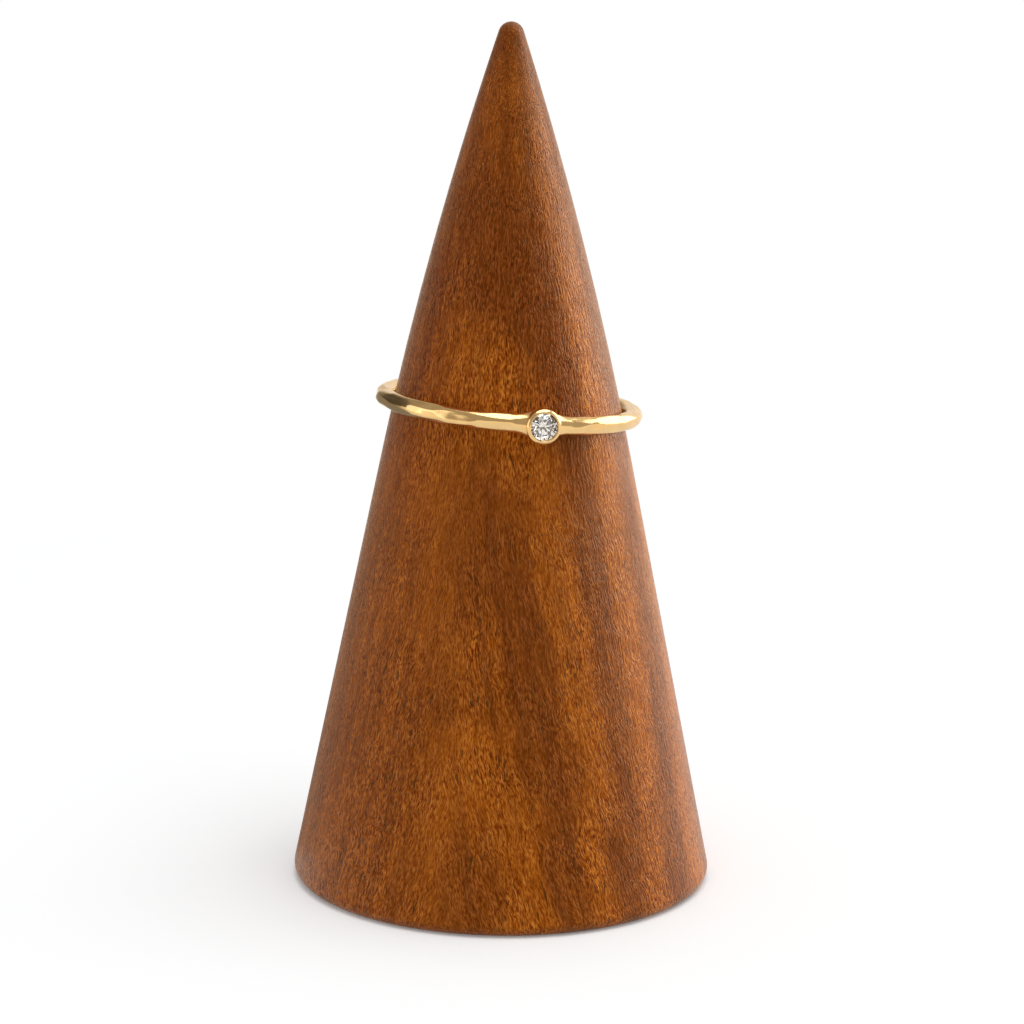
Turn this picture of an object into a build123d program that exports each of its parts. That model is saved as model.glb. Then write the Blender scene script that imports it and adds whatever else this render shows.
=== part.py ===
from build123d import *

# A gold stacking ring with one round bezel-set stone, resting on a turned wooden ring cone.
#
# Millimetres, +Z up. The origin is the centre of the cone's flat foot, and the ring's stone faces -Y.
# Pieces: the cone, the round-wire band with its soldered bezel cup, and the brilliant-cut stone.

import os
from math import acos, atan, cos, degrees, radians, sin, sqrt, tan

# Cone: a straight lower flank, a long shallow arc above it, a small round tip and a rounded foot.
FOOT_RADIUS = 15.65  # where the flank's line meets the floor
FLANK_SLOPE = 0.2036  # radius lost for each millimetre of height
STRAIGHT_HEIGHT = 31.7
UPPER_ARC_RADIUS = 284.0
TIP_RADIUS = 0.94
FOOT_ROUNDING = 0.8
TOP_SEARCH = 25.0  # the ring rests somewhere in this much height above the straight flank

# Band: round wire bent to a US size 6 1/2 ring.
FINGER_DIAMETER = 16.9
WIRE_DIAMETER = 1.3

# How the ring lies on the cone: one side higher than the other, bearing at both. Azimuths are seen
# from above, anticlockwise from +X.
RING_TILT = 6.3
HIGH_SIDE_AZIMUTH = 225.0
SETTING_AZIMUTH = 284.3
SEAT_GAP = 0.03

# Bezel cup: heights are along its axis, outwards from the middle of the wire.
RIM_DIAMETER = 2.54
RIM_HEIGHT = 1.25
RIM_CHAMFER = 0.14
LIP_DIAMETER = 1.96
BEVEL_DIAMETER = 2.16  # where the rim's flat top turns down towards the lip
BEVEL_DEPTH = 0.1
WAIST_DIAMETER = 2.44
WAIST_HEIGHT = 0.35  # below here the cup tapers towards the finger
BACK_DIAMETER = 1.1
BACK_HEIGHT = -0.5
STONE_GAP = 0.03

# Shoulders: the wire swells into the cup through oval sections, the same on both sides of it.
# Columns: distance along the wire from the cup's axis, half width, outer side, finger side.
SHOULDERS = (
    (1.85, 0.65, 0.65, -0.65),
    (1.50, 0.70, 0.68, -0.63),
    (1.20, 0.93, 0.86, -0.58),
)
MIDDLE_SECTION = (0.0, 1.08, 0.95, -0.50)

# Stone: a round brilliant.
STONE_DIAMETER = 2.1
GIRDLE_SIDES = 16
GIRDLE_HEIGHT = 0.94  # underside of the girdle, on the cup's axis
GIRDLE_THICKNESS = 0.05
TABLE_SHARE = 0.56
CROWN_ANGLE = 34.5
PAVILION_ANGLE = 40.8
STAR_LENGTH = 0.5  # share of the way from the table's edge to the girdle
LOWER_HALF_LENGTH = 0.77  # share of the way from the girdle to the point
FULL_STEP = 45.0  # between one main facet and the next
HALF_STEP = FULL_STEP / 2
QUARTER_STEP = FULL_STEP / 4

WIRE_RADIUS = WIRE_DIAMETER / 2
RING_RADIUS = FINGER_DIAMETER / 2 + WIRE_RADIUS
STONE_RADIUS = STONE_DIAMETER / 2
TABLE_RADIUS = STONE_RADIUS * TABLE_SHARE
LIP_RADIUS = LIP_DIAMETER / 2

# The cone's outline, in the half plane of radius and height.
flank_angle = atan(FLANK_SLOPE)
flank_top_radius = FOOT_RADIUS - FLANK_SLOPE * STRAIGHT_HEIGHT
arc_centre_radius = flank_top_radius - UPPER_ARC_RADIUS * cos(flank_angle)
arc_centre_height = STRAIGHT_HEIGHT - UPPER_ARC_RADIUS * sin(flank_angle)
tip_angle = acos(-arc_centre_radius / (UPPER_ARC_RADIUS - TIP_RADIUS))


def bearing_radius(height):
    """Radius at which the middle of the wire lies when it bears on the upper flank."""
    reach = UPPER_ARC_RADIUS + WIRE_RADIUS + SEAT_GAP
    return arc_centre_radius + sqrt(reach**2 - (height - arc_centre_height) ** 2)


def seat_of_ring():
    """Height of the ring's centre, and how far it lies from the cone's axis towards the high side.

    The ring slides down until its high and low sides both bear on the flank.
    """
    rise = RING_RADIUS * sin(radians(RING_TILT))
    span = 2 * RING_RADIUS * cos(radians(RING_TILT))
    low, high = STRAIGHT_HEIGHT + rise, STRAIGHT_HEIGHT + TOP_SEARCH
    while high - low > 1e-6:
        middle = (low + high) / 2
        if bearing_radius(middle + rise) + bearing_radius(middle - rise) > span:
            low = middle
        else:
            high = middle
    return low, (bearing_radius(low + rise) - bearing_radius(low - rise)) / 2


# The ring's own plane: its x axis rises towards the high side.
seat_height, seat_offset = seat_of_ring()
up = Vector(0, 0, 1)
high_side = Vector(cos(radians(HIGH_SIDE_AZIMUTH)), sin(radians(HIGH_SIDE_AZIMUTH)), 0)
ring_plane = Plane(
    origin=high_side * seat_offset + up * seat_height,
    x_dir=high_side * cos(radians(RING_TILT)) + up * sin(radians(RING_TILT)),
    z_dir=up * cos(radians(RING_TILT)) - high_side * sin(radians(RING_TILT)),
)
ring_axis = Axis(ring_plane.origin, ring_plane.z_dir)


def wire_section(along):
    """Plane across the wire, this far along it from the cup. Its x is the band's width, its y outwards."""
    turn = radians(SETTING_AZIMUTH - HIGH_SIDE_AZIMUTH) + along / RING_RADIUS
    outwards = ring_plane.x_dir * cos(turn) + ring_plane.y_dir * sin(turn)
    centre = ring_plane.origin + outwards * RING_RADIUS
    return Plane(centre, x_dir=ring_plane.z_dir, z_dir=ring_plane.z_dir.cross(outwards))


setting_section = wire_section(0)
setting_axis = Axis(setting_section.origin, setting_section.y_dir)
stone_plane = Plane(setting_section.origin, x_dir=setting_section.x_dir, z_dir=setting_section.y_dir)

# The stone's corners, as radius and height on the cup's axis.
girdle_top = GIRDLE_HEIGHT + GIRDLE_THICKNESS
table_height = girdle_top + (STONE_RADIUS - TABLE_RADIUS) * tan(radians(CROWN_ANGLE))
culet_height = GIRDLE_HEIGHT - STONE_RADIUS * tan(radians(PAVILION_ANGLE))
lip_underside = girdle_top + (STONE_RADIUS - LIP_RADIUS) * tan(radians(CROWN_ANGLE)) + STONE_GAP

half_cosine = cos(radians(HALF_STEP))
girdle_flat = STONE_RADIUS * cos(radians(QUARTER_STEP))
table_flat = TABLE_RADIUS * half_cosine
star_radius = table_flat + STAR_LENGTH * (STONE_RADIUS - table_flat)
star_height = girdle_top + (STONE_RADIUS - star_radius * half_cosine) * tan(radians(CROWN_ANGLE))
lower_radius = STONE_RADIUS * (1 - LOWER_HALF_LENGTH)
lower_depth = (STONE_RADIUS - lower_radius * half_cosine) * tan(radians(PAVILION_ANGLE))
star_lean = degrees(atan((table_height - star_height) / (star_radius - table_flat)))
upper_run = (STONE_RADIUS - star_radius) * cos(radians(QUARTER_STEP))
upper_lean = degrees(atan((star_height - girdle_top) / upper_run))
lower_run = (STONE_RADIUS - lower_radius) * cos(radians(QUARTER_STEP))
lower_lean = degrees(atan(lower_depth / lower_run))

# Columns: number of facets, azimuth of the first, lean of their outward normal from the axis, and a
# radius and height that they pass through.
FACETS = (
    (8, 0, CROWN_ANGLE, STONE_RADIUS, girdle_top),
    (8, HALF_STEP, star_lean, table_flat, table_height),
    (16, QUARTER_STEP, upper_lean, girdle_flat, girdle_top),
    (8, 0, 180 - PAVILION_ANGLE, STONE_RADIUS, GIRDLE_HEIGHT),
    (16, QUARTER_STEP, 180 - lower_lean, girdle_flat, GIRDLE_HEIGHT),
)


def facet_plane(azimuth, lean, radius, height):
    """Plane whose normal leans from the stone's axis towards this azimuth, through a radius and height there."""
    sideways = stone_plane.x_dir * cos(radians(azimuth)) + stone_plane.y_dir * sin(radians(azimuth))
    point = stone_plane.origin + sideways * radius + stone_plane.z_dir * height
    return Plane(point, z_dir=sideways * sin(radians(lean)) + stone_plane.z_dir * cos(radians(lean)))


with BuildPart() as cone_stand:
    with BuildSketch(Plane.XZ):
        with BuildLine():
            foot = Line((0, 0), (FOOT_RADIUS, 0))
            flank = Line(foot @ 1, (flank_top_radius, STRAIGHT_HEIGHT))
            upper = JernArc(flank @ 1, flank % 1, UPPER_ARC_RADIUS, degrees(tip_angle - flank_angle))
            tip = JernArc(upper @ 1, upper % 1, TIP_RADIUS, 90 - degrees(tip_angle))
            Line(tip @ 1, foot @ 0)
        make_face()
    revolve(axis=Axis.Z)
    foot_edge = cone_stand.edges().filter_by(GeomType.CIRCLE).sort_by(Axis.Z)[0]
    fillet(foot_edge, FOOT_ROUNDING)
    cone_stand.part.label = "cone_stand"

with BuildPart() as band_with_bezel:
    swell_start = SHOULDERS[0][0]
    with BuildSketch(wire_section(swell_start)):
        Circle(WIRE_RADIUS)
    revolve(axis=ring_axis, revolution_arc=360 - 2 * degrees(swell_start / RING_RADIUS))

    far_side = [(-along, *sizes) for along, *sizes in reversed(SHOULDERS)]
    for along, half_width, outer, finger in (*SHOULDERS, MIDDLE_SECTION, *far_side):
        with BuildSketch(wire_section(along)):
            with Locations((0, (outer + finger) / 2)):
                Ellipse(half_width, (outer - finger) / 2)
    loft()

    with BuildSketch(setting_section) as cup_profile:
        with BuildLine():
            Polyline(
                (0, BACK_HEIGHT),
                (BACK_DIAMETER / 2, BACK_HEIGHT),
                (WAIST_DIAMETER / 2, WAIST_HEIGHT),
                (RIM_DIAMETER / 2, RIM_HEIGHT),
                (0, RIM_HEIGHT),
                close=True,
            )
        make_face()
        rim_corner = cup_profile.vertices().sort_by(Axis.X)[-1]
        chamfer(rim_corner, RIM_CHAMFER)
    revolve(axis=setting_axis)

    with BuildSketch(setting_section):
        with BuildLine():
            Polyline(
                (0, culet_height - STONE_GAP),
                (STONE_RADIUS + STONE_GAP, GIRDLE_HEIGHT - STONE_GAP),
                (STONE_RADIUS + STONE_GAP, lip_underside),
                (LIP_RADIUS, lip_underside),
                (LIP_RADIUS, RIM_HEIGHT - BEVEL_DEPTH),
                (BEVEL_DIAMETER / 2, RIM_HEIGHT),
                (0, RIM_HEIGHT),
                close=True,
            )
        make_face()
    revolve(axis=setting_axis, mode=Mode.SUBTRACT)
    band_with_bezel.part.label = "band_with_bezel"

with BuildPart() as stone:
    with BuildSketch(stone_plane.offset(culet_height)):
        RegularPolygon(STONE_RADIUS, GIRDLE_SIDES)
    extrude(amount=table_height - culet_height)
    for count, first_azimuth, lean, radius, height in FACETS:
        for step in range(count):
            azimuth = first_azimuth + step * 360 / count
            split(bisect_by=facet_plane(azimuth, lean, radius, height), keep=Keep.BOTTOM)
    stone.part.label = "stone"

os.makedirs("parts", exist_ok=True)
export_step(cone_stand.part, "parts/cone_stand.step")
export_step(band_with_bezel.part, "parts/band_with_bezel.step")
export_step(stone.part, "parts/stone.step")
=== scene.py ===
import math

import bmesh
import bpy
import numpy as np
from mathutils import Matrix, Quaternion, Vector


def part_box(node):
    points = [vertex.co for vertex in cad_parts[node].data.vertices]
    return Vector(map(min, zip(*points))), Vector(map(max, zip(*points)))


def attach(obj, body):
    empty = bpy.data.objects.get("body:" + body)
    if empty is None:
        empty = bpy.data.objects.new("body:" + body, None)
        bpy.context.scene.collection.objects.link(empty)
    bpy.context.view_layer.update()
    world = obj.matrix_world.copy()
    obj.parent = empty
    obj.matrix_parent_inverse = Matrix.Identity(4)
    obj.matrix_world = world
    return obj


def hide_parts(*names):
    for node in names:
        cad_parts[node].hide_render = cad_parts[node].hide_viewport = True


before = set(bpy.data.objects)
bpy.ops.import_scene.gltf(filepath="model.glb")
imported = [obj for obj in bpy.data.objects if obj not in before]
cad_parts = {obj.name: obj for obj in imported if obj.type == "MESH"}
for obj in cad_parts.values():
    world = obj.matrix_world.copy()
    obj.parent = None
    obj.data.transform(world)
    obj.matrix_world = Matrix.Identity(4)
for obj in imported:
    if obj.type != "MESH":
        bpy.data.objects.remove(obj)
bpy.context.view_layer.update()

# A gold stacking ring on a turned wooden cone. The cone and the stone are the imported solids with
# better materials. The ring's metal is modelled here, because its hammered facets are far too
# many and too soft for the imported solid. Lengths are millimetres until MM turns them to metres.
MM = 0.001

# The ring's wire, and how it lies: its axis leans away from the high side. Azimuths are seen from
# above, anticlockwise from +X.
WIRE_RADIUS = 0.65
RING_RADIUS = 9.1
RING_TILT = math.radians(6.3)
HIGH_SIDE_AZIMUTH = math.radians(225.0)
SETTING_AZIMUTH = math.radians(284.3)

# Wire mesh: how finely the marks are drawn.
STEPS_ALONG = 1200
STEPS_AROUND = 60

# Hammer marks, in rows along the wire. Angles round the wire start at its outer side.
MARK_SEED = 11
MARK_ROWS = 5
MARK_ROW_STEP = math.radians(50.0)
MARK_SPACING = 3.0
MARK_HALF_LENGTH = (1.4, 2.8)
MARK_HALF_WIDTH = (0.2, 0.37)
MARK_TURN = 0.1  # most that a mark's length turns from the wire's, in radians
MARK_HOLLOW = 1.15  # 1 leaves flat facets, more leaves slightly hollow ones
MARK_SOFTENING = 2  # passes that round the edges between marks
MARK_SWELL = 0.06  # how far the wire stands out on its outer side before the marks sink it
WARP_WAVES = 8  # waves that bend the marks' outlines, and how far they move them either way
WARP_ALONG = 0.2
WARP_AROUND = 0.04
PLAIN_NEAR_CUP = (1.75, 2.3)  # no marks nearer to the cup than the first, all of them past the second

# Shoulders: between these distances from the cup's axis the wire swells ever faster into the cup,
# which hides the widest section. That section's sizes are its half width on the finger side, its half
# width on the outer side, its outer height and its depth towards the finger.
SHOULDER_REACH = (2.2, 0.65)
SHOULDER_CURVE = 2.1
SHOULDER_SIZES = (0.98, 1.08, 0.95, 0.56)

# Bezel cup: radius and height of its outline's corners, on its own axis from the wire's middle. The
# core is what is cut out of the wire first, and lies within the cup's wall.
CUP_OUTLINE = (
    (0.0, -0.5),
    (0.5, -0.5),
    (1.18, 0.3),
    (1.24, 0.5),
    (1.265, 0.98),
    (1.265, 1.04),
    (1.255, 1.075),
    (1.235, 1.1),
    (1.135, 1.19),
    (1.09, 1.224),
    (1.05, 1.238),
    (1.015, 1.225),
    (0.985, 1.18),
    (0.97, 1.07),
    (1.078, 1.07),
    (1.078, 0.912),
    (0.0, 0.006),
)
CORE_OUTLINE = ((0.0, -0.25), (0.25, -0.25), (1.16, 0.55), (1.16, 1.6), (0.0, 1.6))
CUP_STEPS = 160
SHARP_ANGLE = math.radians(40.0)  # edges sharper than this aren't shaded smooth

# Gold: two tones, from redder to paler, how its roughness varies, and its relief in metres. Noises
# are a scale and a detail.
GOLD_TONES = ((0.9, 0.6, 0.26, 1.0), (0.95, 0.655, 0.3, 1.0))
GOLD_ROUGHNESS = (0.12, 0.2)
GOLD_RELIEF = 6e-6
GOLD_SATIN = 0.12  # the fine part of the relief, as a share of the broad part
GOLD_TONE_NOISE = (0.8, 3.0)
GOLD_SMEAR_NOISE = (2.2, 3.0)
GOLD_SWELL_NOISE = (1.6, 1.0)
GOLD_SATIN_NOISE = (14.0, 2.0)

STONE_IOR = 2.42  # a diamond's

# The cone as the wood's grain sees it, so that the grain follows its side: its radius at the foot, what
# that loses for each millimetre of height, and the least radius, near the tip.
FOOT_RADIUS = 15.65
TAPER = 0.2036
TAPER_END = 4.0

# How the grain runs: it leans in from either side low down, and stands upright above.
LOWER_RADIUS = 12.5  # the cone's radius where the lower fibres are drawn at their true width
UPPER_RADIUS = 7.0
UPPER_START = (26.0, 36.0)  # heights at which the upper fibres take over
LEFT_LEAN = 0.14  # how far the lower fibres lean in, on either side, for each unit of height
RIGHT_LEAN = -0.2
LEAN_TURN = (-7.0, -1.0)  # how far to the right the one lean starts and ends giving way to the other
GRAIN_DRIFT = 0.6  # how much the fibres wander sideways
DRIFT_NOISE = (0.5, 1.0)

# The grain's layers, from broad to fine. Columns: how many times longer than wide it is drawn, the
# noise's scale and detail, and a shift that keeps it from repeating another layer.
STREAKS = (18.0, 0.9, 3.0, 0.0)
STRANDS = (10.0, 6.0, 2.0, 20.0)
FIBRES = (5.0, 13.0, 1.0, 40.0)
VESSELS = (8.0, 6.5, 1.0, 60.0)

# Figure: the tree's growth rings, which the cone's front cuts into nested arches, with broad streaks over
# them, and painted shade that turns it redder towards the top. It runs from 0, red, to 1, golden.
PITH_AZIMUTH = math.radians(259.0)
PITH_DISTANCE = 22.0  # from the cone's axis to the middle of the growth rings
PALE_RING = 9.0  # radius of a pale growth ring, and how far on the next one is
RING_PERIOD = 5.4
RING_WARP = 3.5  # how much the growth rings wander
WARP_NOISE = (0.12, 2.0)
RING_FIGURE = (0.1, 0.86)
PLAIN_FIGURE = 0.38  # figure of the side where the rings hardly show
PLAIN_SIDE = (-8.0, 0.0)  # how far to the right the rings start to show, and show fully
TOP_SHADE_FADE = (30.0, 58.0)  # heights between which the figure turns redder, as painted shade on the top, and by how much
TOP_SHADE_REDDER = 0.5
STREAK_STRENGTH = 1.6

# Wood's colours, and what the darkest and the palest strands and fibres multiply them by.
WOOD_RED = (0.152, 0.0285, 0.0024, 1.0)
WOOD_GOLDEN = (0.32, 0.074, 0.0034, 1.0)
WOOD_PORE = (0.045, 0.011, 0.003, 1.0)
STRAND_TONES = ((0.74, 0.58, 0.25, 1.0), (1.27, 1.43, 2.2, 1.0))
# The palest fibres' paler, less yellow tone is partly their own colour and partly a painted glint.
FIBRE_TONES_AND_GLINTS = ((0.42, 0.05, 0.0, 1.0), (1.58, 2.1, 4.4, 1.0))

# Ramps. Columns: where one starts and ends, and the numbers that it runs between.
STRAND_RAMP = (0.25, 0.75, 0.0, 1.0)
FIBRE_RAMP = (0.29, 0.71, 0.0, 1.0)
COARSE_RAMP = (0.35, 0.65, 0.65, 1.0)  # how strongly the fibres show, from patch to patch
PORE_PATCH_RAMP = (0.4, 0.65, 0.0, 0.05)  # where more pores open, from patch to patch
PORE_RAMP = (0.665, 0.725, 0.0, 0.8)
PATCH_NOISE = (0.3, 1.0)

# Wood's gloss and relief. The relief is in metres.
WOOD_ROUGHNESS = (0.3, 0.2)  # of the darkest and of the palest fibres
WOOD_GLOSS = {
    "IOR": 1.5,
    "Specular Tint": (1.0, 0.53, 0.04, 1.0),
    "Sheen Weight": 0.25,
    "Sheen Roughness": 0.4,
    "Sheen Tint": (1.0, 0.6, 0.28, 1.0),
}
WOOD_RELIEF = 3.4e-5
FIBRE_HEIGHT = 0.5  # of the fibres and the pores in the relief, where the strands have 1
PORE_HEIGHT = -0.5

# Camera, at the photograph's angle.
CAMERA_PLACE = Vector((0.127, -300.0, 101.52))
CAMERA_PITCH = math.radians(-13.83)
CAMERA_YAW = math.radians(0.07)
CAMERA_ROLL = math.radians(0.74)
CAMERA_LENS = 147.66

# Floor: its half width in metres, and how far out, in millimetres, it starts and ends fading to white.
# The camera sees it paler than it lights the object, and a little lifted.
FLOOR_REACH = 4.0
FLOOR_FADE = (60.0, 130.0)
FLOOR_COLOUR = (0.75, 0.75, 0.75, 1.0)
FLOOR_SEEN_COLOUR = (0.9, 0.91, 0.915, 1.0)
FLOOR_LIFT = 0.16

# The studio as gold and wood mirror it: a dim warm room, paler towards +X, with a bright wall at the
# back right and a dark corner at the back left, which darkens the floor there too. Edges are cosines
# of the angle from each side's middle.
ROOM_LEVELS = (0.4, 0.45)
ROOM_COLOUR = (1.0, 0.93, 0.84, 1.0)
WALL_SIDE = (0.53, 0.848, 0.0)
WALL_EDGE = (0.25, 1.1)
WALL_LEVEL = 1.0
DARK_SIDE = (-0.743, 0.669, 0.0)
DARK_ROOM_EDGE = (0.55, 0.92)
DARK_ROOM_LEVEL = 0.08
DARK_FLOOR_EDGE = (0.8, 0.95)
DARK_FLOOR_LEVEL = 0.25

# The studio as the stone refracts it, white with a dark card in front, and as it lights the object.
CARD_SIDE = (0.0, -0.97, 0.24)
CARD_EDGE = (0.3, 0.62)
CARD_LEVEL = 0.04
SKY_LEVEL = 0.52
WHITE = (1.0, 1.0, 1.0, 1.0)


def unit(azimuth):
    """The level direction at an azimuth."""
    return Vector((math.cos(azimuth), math.sin(azimuth), 0.0))


# ---------------------------------------------------------------- ring geometry


def ring_axes():
    """The ring's centre, the way to its setting, the way a quarter turn on, and its axis."""
    high = unit(HIGH_SIDE_AZIMUTH)
    along = high * math.cos(RING_TILT) + Vector((0.0, 0.0, math.sin(RING_TILT)))
    axis = Vector((0.0, 0.0, math.cos(RING_TILT))) - high * math.sin(RING_TILT)
    across = axis.cross(along)
    turn = SETTING_AZIMUTH - HIGH_SIDE_AZIMUTH
    setting = along * math.cos(turn) + across * math.sin(turn)

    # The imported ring's left, far and lowest sides are plain wire, so they give its centre.
    low, high_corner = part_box("band_with_bezel")
    reach = [RING_RADIUS * math.sqrt(1 - axis[i] ** 2) + WIRE_RADIUS for i in range(3)]
    centre = Vector((low[0] / MM + reach[0], high_corner[1] / MM - reach[1], low[2] / MM + reach[2]))
    return centre, setting, axis.cross(setting), axis


def smooth_step(values, start, end):
    """Each value's share of the way from start to end, eased."""
    share = np.clip((values - start) / (end - start), 0.0, 1.0)
    return share * share * (3 - 2 * share)


def hammer_marks(rng):
    """Rows of marks: place along the wire, angle round it, half length, half width and turn."""
    length = 2 * math.pi * RING_RADIUS
    marks = []
    for row in range(MARK_ROWS):
        angle = (row - (MARK_ROWS - 1) / 2) * MARK_ROW_STEP
        count = int(length / MARK_SPACING)
        offset = rng.uniform(0, MARK_SPACING)
        for step in range(count):
            place = offset + (step + rng.uniform(-0.3, 0.3)) * length / count
            turned = angle + rng.uniform(-0.35, 0.35) * MARK_ROW_STEP
            half_length = rng.uniform(*MARK_HALF_LENGTH)
            half_width = rng.uniform(*MARK_HALF_WIDTH)
            marks.append((place, turned, half_length, half_width, rng.uniform(-MARK_TURN, MARK_TURN)))
    return marks


def wavy(rng, turns, angles, waves, scale):
    """A gentle wave over the wire that closes on itself both ways."""
    total = np.zeros(np.broadcast(turns, angles).shape)
    for _ in range(waves):
        about = rng.integers(4, 24)
        around = rng.integers(-1, 2)
        total += np.sin(about * turns + around * angles + rng.uniform(0, 2 * math.pi))
    return total * scale / math.sqrt(waves / 2)


def distance_from_cup(turns):
    """Distance along the wire from the cup's axis, the shorter way round."""
    length = 2 * math.pi * RING_RADIUS
    return np.abs((turns * RING_RADIUS + length / 2) % length - length / 2)


def mark_depths(turns, angles):
    """How far the hammering sinks the wire's surface at each point of the grid."""
    rng = np.random.default_rng(MARK_SEED)
    length = 2 * math.pi * RING_RADIUS
    girth = 2 * math.pi * WIRE_RADIUS
    along = turns * RING_RADIUS + wavy(rng, turns, angles, WARP_WAVES, WARP_ALONG)
    around = angles * WIRE_RADIUS + wavy(rng, turns, angles, WARP_WAVES, WARP_AROUND)
    depth = np.zeros(np.broadcast(turns, angles).shape)
    for place, angle, half_length, half_width, turn in hammer_marks(rng):
        down = (along - place + length / 2) % length - length / 2
        side = (around - angle * WIRE_RADIUS + girth / 2) % girth - girth / 2
        long_way = (down * math.cos(turn) + side * math.sin(turn)) / half_length
        short_way = (side * math.cos(turn) - down * math.sin(turn)) / half_width
        deepest = MARK_HOLLOW * half_width**2 / (2 * WIRE_RADIUS)
        depth = np.maximum(depth, deepest * (1 - long_way**2 - short_way**2))
    for _ in range(MARK_SOFTENING):
        for way in (0, 1):
            depth = (np.roll(depth, 1, way) + 2 * depth + np.roll(depth, -1, way)) / 4
    return depth * smooth_step(distance_from_cup(turns), *PLAIN_NEAR_CUP)


def shoulder_sizes(turns):
    """The wire's two half widths, outer height and finger depth at each turn from the cup."""
    start, end = SHOULDER_REACH
    swell = np.clip((start - distance_from_cup(turns)) / (start - end), 0.0, 1.0) ** SHOULDER_CURVE
    return [WIRE_RADIUS + (size - WIRE_RADIUS) * swell for size in SHOULDER_SIZES]


def closed_grid(points, name):
    """A mesh object of a grid of points that closes on itself both ways."""
    rows, columns = points.shape[:2]
    index = np.arange(rows * columns).reshape(rows, columns)
    after = np.roll(index, -1, axis=0)
    corners = (index, after, np.roll(after, -1, axis=1), np.roll(index, -1, axis=1))
    faces = np.stack([corner.ravel() for corner in corners], axis=1)
    mesh = bpy.data.meshes.new(name)
    mesh.from_pydata((points.reshape(-1, 3) * MM).tolist(), [], faces.tolist())
    mesh.update()
    piece = bpy.data.objects.new(name, mesh)
    bpy.context.scene.collection.objects.link(piece)
    return piece


def hammered_wire(axes):
    """The closed wire, with its shoulders and its hammer marks."""
    centre, setting, across, axis = (np.array(vector) for vector in axes)
    turns = (np.arange(STEPS_ALONG) * 2 * math.pi / STEPS_ALONG)[:, None]
    angles = (np.arange(STEPS_AROUND) * 2 * math.pi / STEPS_AROUND)[None, :]
    finger_width, outer_width, outer_height, finger_depth = shoulder_sizes(turns)
    outer_share = (1 + np.cos(angles)) / 2
    half_width = finger_width + (outer_width - finger_width) * outer_share
    half_height = np.where(np.cos(angles) > 0, outer_height, finger_depth)
    left = 1 + (MARK_SWELL * outer_share - mark_depths(turns, angles)) / WIRE_RADIUS
    wide = half_width * np.sin(angles) * left
    out = half_height * np.cos(angles) * left
    outwards = np.cos(turns)[..., None] * setting + np.sin(turns)[..., None] * across
    points = centre + outwards * (RING_RADIUS + out)[..., None] + axis * wide[..., None]
    return closed_grid(points, "hammered_wire")


def turned(outline, axes, name):
    """A solid turned about the cup's axis from its outline."""
    centre, setting, across, axis = axes
    base = centre + setting * RING_RADIUS
    mesh = bpy.data.meshes.new(name)
    builder = bmesh.new()
    rings = []
    for radius, height in outline:
        if radius == 0:
            rings.append([builder.verts.new((base + setting * height) * MM)])
            continue
        ring = []
        for step in range(CUP_STEPS):
            turn = step * 2 * math.pi / CUP_STEPS
            sideways = axis * math.cos(turn) + across * math.sin(turn)
            ring.append(builder.verts.new((base + setting * height + sideways * radius) * MM))
        rings.append(ring)
    for lower, upper in zip(rings, rings[1:]):
        for step in range(CUP_STEPS):
            after = (step + 1) % CUP_STEPS
            corners = [lower[step % len(lower)], lower[after % len(lower)]]
            corners += [upper[after % len(upper)], upper[step % len(upper)]]
            builder.faces.new(list(dict.fromkeys(corners)))
    bmesh.ops.recalc_face_normals(builder, faces=builder.faces)
    builder.to_mesh(mesh)
    builder.free()
    piece = bpy.data.objects.new(name, mesh)
    bpy.context.scene.collection.objects.link(piece)
    return piece


def carve(piece, other, operation):
    """Join the other solid to the piece, or cut it away. The other is used up."""
    modifier = piece.modifiers.new("carve", "BOOLEAN")
    modifier.operation = operation
    modifier.solver = "EXACT"
    modifier.object = other
    graph = bpy.context.evaluated_depsgraph_get()
    finished = bpy.data.meshes.new_from_object(piece.evaluated_get(graph))
    piece.modifiers.clear()
    piece.data = finished
    bpy.data.objects.remove(other)


def gold_ring():
    """The wire and its cup as one solid."""
    axes = ring_axes()
    ring = hammered_wire(axes)
    carve(ring, turned(CORE_OUTLINE, axes, "core"), "DIFFERENCE")
    carve(ring, turned(CUP_OUTLINE, axes, "bezel_cup"), "UNION")
    ring.name = "gold_ring"
    ring.data.shade_smooth()
    ring.data.set_sharp_from_angle(angle=SHARP_ANGLE)
    return ring


# ---------------------------------------------------------------- materials


def new_material(name):
    """A material, its node tree, and the shader that feeds its output."""
    material = bpy.data.materials.new(name)
    material.use_nodes = True
    tree = material.node_tree
    tree.nodes.clear()
    shader = add_node(tree, "BsdfPrincipled")
    add_node(tree, "OutputMaterial", {"Surface": shader.outputs["BSDF"]})
    return material, tree, shader


def add_node(tree, kind, inputs=None, **settings):
    """A node with these settings. Each input is set to a value, or linked to another node's output."""
    node = tree.nodes.new("ShaderNode" + kind)
    for name, value in settings.items():
        setattr(node, name, value)
    for name, value in (inputs or {}).items():
        feed(tree, node, name, value)
    return node


def feed(tree, node, name, value):
    """Set a node's input to a value, or link another node's output to it."""
    if isinstance(value, bpy.types.NodeSocket):
        tree.links.new(value, node.inputs[name])
    else:
        node.inputs[name].default_value = value


def calculate(tree, operation, *values):
    return add_node(tree, "Math", dict(enumerate(values)), operation=operation).outputs[0]


def combine(tree, operation, *vectors):
    return add_node(tree, "VectorMath", dict(enumerate(vectors)), operation=operation).outputs[0]


def along(tree, vector, direction):
    """How far the vector reaches in a direction."""
    inputs = {0: vector, 1: direction}
    return add_node(tree, "VectorMath", inputs, operation="DOT_PRODUCT").outputs["Value"]


def length_of(tree, vector):
    return add_node(tree, "VectorMath", {0: vector}, operation="LENGTH").outputs["Value"]


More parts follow.
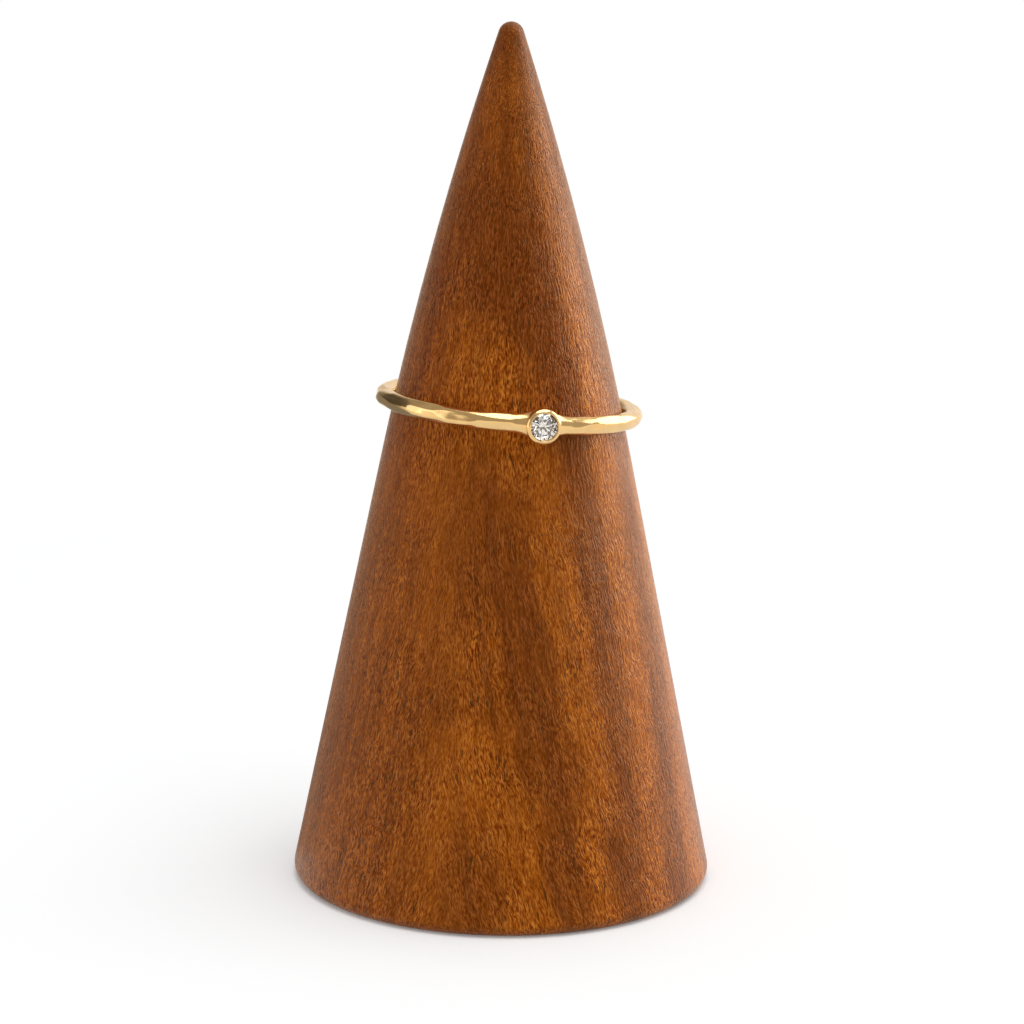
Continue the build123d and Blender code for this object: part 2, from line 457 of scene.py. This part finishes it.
def noise(tree, place, scale, detail=2.0, output="Fac"):
    inputs = {"Vector": place, "Scale": scale, "Detail": detail}
    return add_node(tree, "TexNoise", inputs).outputs[output]


def remap(tree, value, start, end, low=0.0, high=1.0):
    """The value's share of the way from start to end, eased, as a number from low to high."""
    inputs = {"Value": value, "From Min": start, "From Max": end, "To Min": low, "To Max": high}
    return add_node(tree, "MapRange", inputs, interpolation_type="SMOOTHSTEP").outputs["Result"]


def blend_colours(tree, share, first, second, blend_type="MIX"):
    inputs = {0: share, 6: first, 7: second}
    return add_node(tree, "Mix", inputs, data_type="RGBA", blend_type=blend_type).outputs[2]


def blend(tree, share, first, second):
    inputs = {0: share, 2: first, 3: second}
    return add_node(tree, "Mix", inputs, data_type="FLOAT").outputs[0]


def millimetres(tree):
    """The place on the piece, in millimetres."""
    place = add_node(tree, "TexCoord").outputs["Object"]
    return combine(tree, "MULTIPLY", place, (1 / MM, 1 / MM, 1 / MM))


def swaying(tree, place, scale, detail):
    """A vector that sways from place to place, by up to half a unit each way."""
    colour = noise(tree, place, scale, detail, "Color")
    return combine(tree, "SUBTRACT", colour, (0.5, 0.5, 0.5))


def relief(tree, height, distance):
    """The surface's normal, raised by the height's share of this distance in metres."""
    inputs = {"Height": height, "Distance": distance, "Strength": 1.0}
    return add_node(tree, "Bump", inputs).outputs["Normal"]


def use(piece, material):
    piece.data.materials.clear()
    piece.data.materials.append(material)


def gold_material():
    material, tree, shader = new_material("gold")
    place = millimetres(tree)
    tone = remap(tree, noise(tree, place, *GOLD_TONE_NOISE), 0.35, 0.65)
    smear = remap(tree, noise(tree, place, *GOLD_SMEAR_NOISE), 0.3, 0.7, *GOLD_ROUGHNESS)
    swell = noise(tree, place, *GOLD_SWELL_NOISE)
    satin = noise(tree, place, *GOLD_SATIN_NOISE)
    height = calculate(tree, "MULTIPLY_ADD", satin, GOLD_SATIN, swell)
    feed(tree, shader, "Base Color", blend_colours(tree, tone, *GOLD_TONES))
    feed(tree, shader, "Metallic", 1.0)
    feed(tree, shader, "Roughness", smear)
    feed(tree, shader, "Normal", relief(tree, height, GOLD_RELIEF))
    return material


def stone_material():
    material, tree, shader = new_material("clear_stone")
    feed(tree, shader, "Base Color", WHITE)
    feed(tree, shader, "Roughness", 0.0)
    feed(tree, shader, "IOR", STONE_IOR)
    feed(tree, shader, "Transmission Weight", 1.0)
    return material


def untapered(tree, place, radius, lean):
    """The place as if the cone were a cylinder of this radius, so that its sides run straight up, and
    then sheared so that what leans to the right by this much stands upright."""
    height = along(tree, place, (0.0, 0.0, 1.0))
    cone_radius = calculate(tree, "MULTIPLY_ADD", height, -TAPER, FOOT_RADIUS)
    cone_radius = calculate(tree, "MAXIMUM", cone_radius, TAPER_END)
    share = calculate(tree, "DIVIDE", radius, cone_radius)
    widening = add_node(tree, "CombineXYZ", {0: share, 1: share, 2: 1.0}).outputs[0]
    shift = add_node(tree, "CombineXYZ", {0: calculate(tree, "MULTIPLY", height, -lean)}).outputs[0]
    return combine(tree, "MULTIPLY_ADD", place, widening, shift)


def grain_fields(tree, place, wandering):
    """The places as the lower left, lower right and upper fibres see them, and where each field holds."""
    fields = ((LOWER_RADIUS, LEFT_LEAN), (LOWER_RADIUS, RIGHT_LEAN), (UPPER_RADIUS, 0.0))
    return {
        "places": [untapered(tree, wandering, radius, lean) for radius, lean in fields],
        "right": remap(tree, along(tree, wandering, (1.0, 0.0, 0.0)), *LEAN_TURN),
        "upper": remap(tree, along(tree, place, (0.0, 0.0, 1.0)), *UPPER_START),
    }


def grain_noise(tree, grain, stretch, scale, detail, shift):
    """Noise drawn out along the grain, in each of its fields."""
    levels = []
    for place in grain["places"]:
        squeezed = combine(tree, "MULTIPLY_ADD", place, (1.0, 1.0, 1 / stretch), (shift, 0.0, 0.0))
        levels.append(noise(tree, squeezed, scale, detail))
    lower = blend(tree, grain["right"], levels[0], levels[1])
    return blend(tree, grain["upper"], lower, levels[2])


def wood_figure(tree, place, wandering, grain):
    """Growth rings and broad streaks, from 0 where the wood is red to 1 where it is golden, turned redder
    towards the top as painted shade.
    """
    warp = swaying(tree, place, *WARP_NOISE)
    warped = combine(tree, "MULTIPLY_ADD", warp, (RING_WARP, RING_WARP, 0.0), wandering)
    pith = unit(PITH_AZIMUTH) * PITH_DISTANCE
    radius = length_of(tree, combine(tree, "MULTIPLY_ADD", warped, (1.0, 1.0, 0.0), -pith))
    from_pale = calculate(tree, "SUBTRACT", radius, PALE_RING)
    turns = calculate(tree, "DIVIDE", from_pale, RING_PERIOD / (2 * math.pi))
    rings = remap(tree, calculate(tree, "COSINE", turns), -1.0, 1.0, *RING_FIGURE)
    shown = remap(tree, along(tree, warped, (1.0, 0.0, 0.0)), *PLAIN_SIDE)
    figure = blend(tree, shown, PLAIN_FIGURE, rings)
    # Painted shade: the figure turns redder, and so darker, towards the top.
    painted_top_shade = remap(tree, along(tree, place, (0.0, 0.0, 1.0)), *TOP_SHADE_FADE, 0.0, TOP_SHADE_REDDER)
    figure = calculate(tree, "SUBTRACT", figure, painted_top_shade)
    streaks = calculate(tree, "SUBTRACT", grain_noise(tree, grain, *STREAKS), 0.5)
    return calculate(tree, "MULTIPLY_ADD", streaks, STREAK_STRENGTH, figure)


def wood_material():
    material, tree, shader = new_material("wood")
    place = millimetres(tree)
    drift = swaying(tree, place, *DRIFT_NOISE)
    wandering = combine(tree, "MULTIPLY_ADD", drift, (GRAIN_DRIFT, GRAIN_DRIFT, 0.0), place)
    grain = grain_fields(tree, place, wandering)
    colour = blend_colours(tree, wood_figure(tree, place, wandering, grain), WOOD_RED, WOOD_GOLDEN)

    # Long strands, and short fibres that show more in some patches than in others. The palest fibres
    # carry a painted glint.
    strands = remap(tree, grain_noise(tree, grain, *STRANDS), *STRAND_RAMP)
    colour = blend_colours(tree, 1.0, colour, blend_colours(tree, strands, *STRAND_TONES), "MULTIPLY")
    fibres = remap(tree, grain_noise(tree, grain, *FIBRES), *FIBRE_RAMP)
    patches = noise(tree, place, *PATCH_NOISE)
    coarse = remap(tree, patches, *COARSE_RAMP)
    colour = blend_colours(tree, coarse, colour, blend_colours(tree, fibres, *FIBRE_TONES_AND_GLINTS), "MULTIPLY")

    # Pores, the short dark lines of the cut vessels.
    vessels = grain_noise(tree, grain, *VESSELS)
    vessels = calculate(tree, "ADD", vessels, remap(tree, patches, *PORE_PATCH_RAMP))
    pores = remap(tree, vessels, *PORE_RAMP)
    colour = blend_colours(tree, pores, colour, WOOD_PORE)

    height = calculate(tree, "MULTIPLY_ADD", fibres, FIBRE_HEIGHT, strands)
    height = calculate(tree, "MULTIPLY_ADD", pores, PORE_HEIGHT, height)
    feed(tree, shader, "Base Color", colour)
    feed(tree, shader, "Roughness", remap(tree, fibres, 0.0, 1.0, *WOOD_ROUGHNESS))
    feed(tree, shader, "Normal", relief(tree, height, WOOD_RELIEF))
    for name, value in WOOD_GLOSS.items():
        feed(tree, shader, name, value)
    return material


# ---------------------------------------------------------------- stage


def make_floor():
    mesh = bpy.data.meshes.new("floor")
    corners = [(-1, -1), (1, -1), (1, 1), (-1, 1)]
    mesh.from_pydata([(FLOOR_REACH * x, FLOOR_REACH * y, 0.0) for x, y in corners], [], [(0, 1, 2, 3)])
    floor = bpy.data.objects.new("floor", mesh)
    bpy.context.scene.collection.objects.link(floor)
    use(floor, floor_material())


def floor_material():
    material, tree, shader = new_material("floor")
    path = add_node(tree, "LightPath").outputs
    place = millimetres(tree)
    # Painted shade: in what gold and wood mirror, the floor darkens towards the back left.
    dark = remap(tree, along(tree, combine(tree, "NORMALIZE", place), DARK_SIDE), *DARK_FLOOR_EDGE)
    dark = calculate(tree, "MULTIPLY", dark, path["Is Glossy Ray"])
    dark_colour = (DARK_FLOOR_LEVEL, DARK_FLOOR_LEVEL, DARK_FLOOR_LEVEL, 1.0)
    near = blend_colours(tree, path["Is Camera Ray"], FLOOR_COLOUR, FLOOR_SEEN_COLOUR)
    feed(tree, shader, "Base Color", blend_colours(tree, dark, near, dark_colour))
    feed(tree, shader, "Roughness", 1.0)
    feed(tree, shader, "Specular IOR Level", 0.0)

    # Near the object it is lit and shadowed, and a little lifted.
    seen = calculate(tree, "MAXIMUM", path["Is Camera Ray"], path["Is Glossy Ray"])
    lifted = calculate(tree, "SUBTRACT", seen, dark)
    lift = add_node(tree, "Emission", {"Strength": calculate(tree, "MULTIPLY", lifted, FLOOR_LIFT)})
    lit = add_node(tree, "AddShader", {0: shader.outputs["BSDF"], 1: lift.outputs[0]})

    # Seen directly, or in metal and glass, it fades to plain white away from the shadow.
    level = calculate(tree, "MULTIPLY_ADD", dark, DARK_FLOOR_LEVEL - 1.0, 1.0)
    tint = blend_colours(tree, path["Is Glossy Ray"], WHITE, ROOM_COLOUR)
    white = add_node(tree, "Emission", {"Color": tint, "Strength": level})
    fade = remap(tree, length_of(tree, place), *FLOOR_FADE)
    seen = calculate(tree, "MAXIMUM", seen, path["Is Transmission Ray"])
    share = calculate(tree, "MULTIPLY", seen, fade)
    mix = add_node(tree, "MixShader", {0: share, 1: lit.outputs[0], 2: white.outputs[0]})
    feed(tree, tree.nodes["Material Output"], "Surface", mix.outputs[0])
    return material


def make_lamp(name, place, target, size, power, roll=0.0, glossy=True, lit=None):
    """An area lamp, rolled about its beam. Its place and size are in metres and its power in watts. It
    lights only the collection lit, or everything if there is none."""
    light = bpy.data.lights.new(name, "AREA")
    light.shape = "RECTANGLE"
    light.size, light.size_y = size
    light.energy = power
    lamp = bpy.data.objects.new(name, light)
    lamp.location = place
    aim = (Vector(target) - Vector(place)).to_track_quat("-Z", "Y")
    lamp.rotation_euler = (aim @ Quaternion((0.0, 0.0, 1.0), math.radians(roll))).to_euler()
    lamp.visible_camera = False
    lamp.visible_glossy = glossy
    lamp.light_linking.receiver_collection = lit
    bpy.context.scene.collection.objects.link(lamp)
    return lamp


def make_world():
    """White to the camera, and one even level as light. Gold and wood mirror the room with its wall and
    dark corner, and the stone refracts white around a dark card."""
    world = bpy.data.worlds.new("studio")
    bpy.context.scene.world = world
    world.use_nodes = True
    tree = world.node_tree
    tree.nodes.clear()
    path = add_node(tree, "LightPath").outputs
    place = add_node(tree, "TexCoord").outputs["Generated"]
    room = remap(tree, along(tree, place, (1.0, 0.0, 0.0)), -1.0, 1.0, *ROOM_LEVELS)
    corner = remap(tree, along(tree, place, DARK_SIDE), *DARK_ROOM_EDGE)
    room = blend(tree, corner, room, DARK_ROOM_LEVEL)
    wall = remap(tree, along(tree, place, WALL_SIDE), *WALL_EDGE)
    room = blend(tree, wall, room, WALL_LEVEL)
    sparkle = remap(tree, along(tree, place, CARD_SIDE), *CARD_EDGE, 1.0, CARD_LEVEL)
    level = blend(tree, path["Is Transmission Ray"], room, sparkle)
    level = blend(tree, path["Is Diffuse Ray"], level, SKY_LEVEL)
    level = calculate(tree, "MAXIMUM", level, path["Is Camera Ray"])
    mirrored = calculate(tree, "GREATER_THAN", path["Is Glossy Ray"], path["Is Transmission Ray"])
    tint = blend_colours(tree, mirrored, WHITE, ROOM_COLOUR)
    light = add_node(tree, "Background", {"Color": tint, "Strength": level})
    add_node(tree, "OutputWorld", {"Surface": light.outputs[0]})


def make_camera():
    data = bpy.data.cameras.new("camera")
    data.lens = CAMERA_LENS
    data.clip_start = 0.01
    camera = bpy.data.objects.new("camera", data)
    bpy.context.scene.collection.objects.link(camera)
    cos_pitch, sin_pitch = math.cos(CAMERA_PITCH), math.sin(CAMERA_PITCH)
    forward = Vector((math.sin(CAMERA_YAW) * cos_pitch, math.cos(CAMERA_YAW) * cos_pitch, sin_pitch))
    level_right = Vector((math.cos(CAMERA_YAW), -math.sin(CAMERA_YAW), 0.0))
    level_up = level_right.cross(forward)
    right = level_right * math.cos(CAMERA_ROLL) + level_up * math.sin(CAMERA_ROLL)
    up = level_up * math.cos(CAMERA_ROLL) - level_right * math.sin(CAMERA_ROLL)
    turn = Matrix((right, up, -forward)).transposed().to_4x4()
    camera.matrix_world = Matrix.Translation(CAMERA_PLACE * MM) @ turn
    bpy.context.scene.camera = camera


ring = gold_ring()
use(ring, gold_material())
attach(ring, "root")
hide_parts("band_with_bezel")

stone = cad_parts["stone"]
use(stone, stone_material())
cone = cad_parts["cone_stand"]
use(cone, wood_material())
cone.data.shade_smooth()

make_floor()
model = bpy.data.collections.new("model")
for piece in (ring, stone, cone):
    model.objects.link(piece)
metal = bpy.data.collections.new("metal")
metal.objects.link(ring)
make_lamp("top_softbox", (0.1, -0.02, 0.6), (0.0, 0.0, 0.04), (0.5, 0.5), 2.0)
make_lamp("right_softbox", (0.41, 0.235, 0.2), (0.0, 0.0, 0.03), (0.5, 0.4), 1.45, roll=-20.0, lit=model)
make_lamp("right_fill", (0.367, 0.171, 0.08), (0.0, 0.0, 0.02), (0.4, 0.4), 2.4, glossy=False, lit=model)
make_lamp("left_fill", (-0.36, -0.33, 0.1), (0.0, 0.0, 0.02), (0.4, 0.4), 1.1, glossy=False, lit=model)
make_lamp("left_panel", (-0.386, -0.104, 0.12), (0.0, 0.0, 0.037), (0.3, 0.24), 0.23, lit=metal)
make_world()
make_camera()
bpy.context.scene.view_settings.view_transform = "Standard"
